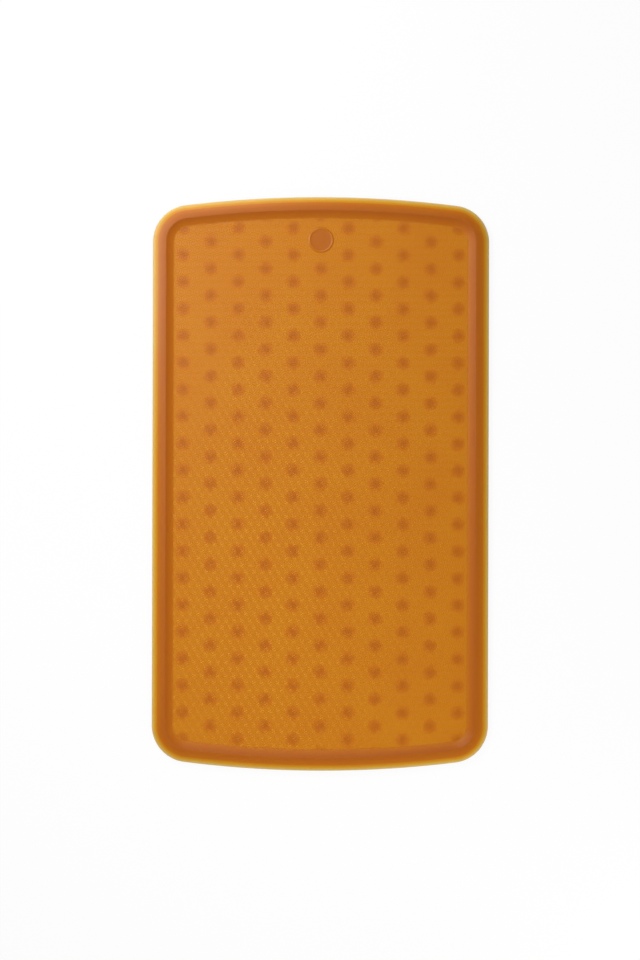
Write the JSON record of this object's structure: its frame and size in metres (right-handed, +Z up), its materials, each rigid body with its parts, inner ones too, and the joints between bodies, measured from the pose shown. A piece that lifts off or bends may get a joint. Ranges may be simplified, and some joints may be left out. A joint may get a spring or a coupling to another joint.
{
  "type": "suction bath mat",
  "caption": "Flat amber rubber bath mat with bowed ends, a raised rim, a round boss near one end and staggered columns of suction cups underneath that grip a tub floor.",
  "frame": {"origin": "on the floor plane at the suction cups' lips, under the middle of the mat's outline", "axes": "+X across the mat's width, +Y along its length towards the round boss, +Z up out of the face that is stood on"},
  "size_m": [0.34, 0.58, 0.013],
  "materials": {
    "sheet_rubber": "translucent amber natural rubber, satin, with a fine raised grip texture",
    "rim_rubber": "translucent amber natural rubber, smooth satin, yellow at its thin edge",
    "medallion_rubber": "thicker, redder amber natural rubber, smooth",
    "cup_rubber": "translucent amber natural rubber, smooth, semi-gloss"
  },
  "bodies": {
    "cups": {"cup_column_01": "cup_rubber", "cup_column_02": "cup_rubber", "cup_column_03": "cup_rubber", "cup_column_04": "cup_rubber", "cup_column_05": "cup_rubber", "cup_column_06": "cup_rubber", "cup_column_07": "cup_rubber", "cup_column_08": "cup_rubber", "cup_column_09": "cup_rubber", "cup_column_10": "cup_rubber", "cup_column_11": "cup_rubber"},
    "mat": {"grip_sheet": "sheet_rubber", "rim": "rim_rubber", "medallion": "medallion_rubber"}
  },
  "joints": [
    {"name": "sheet_press", "type": "slide", "parent": "cups", "child": "mat", "axis": [0, 0, -1], "range_m": [0, 0.002], "stiffness_N_per_m": 200000, "deforming": ["cup_column_01", "cup_column_02", "cup_column_03", "cup_column_04", "cup_column_05", "cup_column_06", "cup_column_07", "cup_column_08", "cup_column_09", "cup_column_10", "cup_column_11"]}
  ]
}
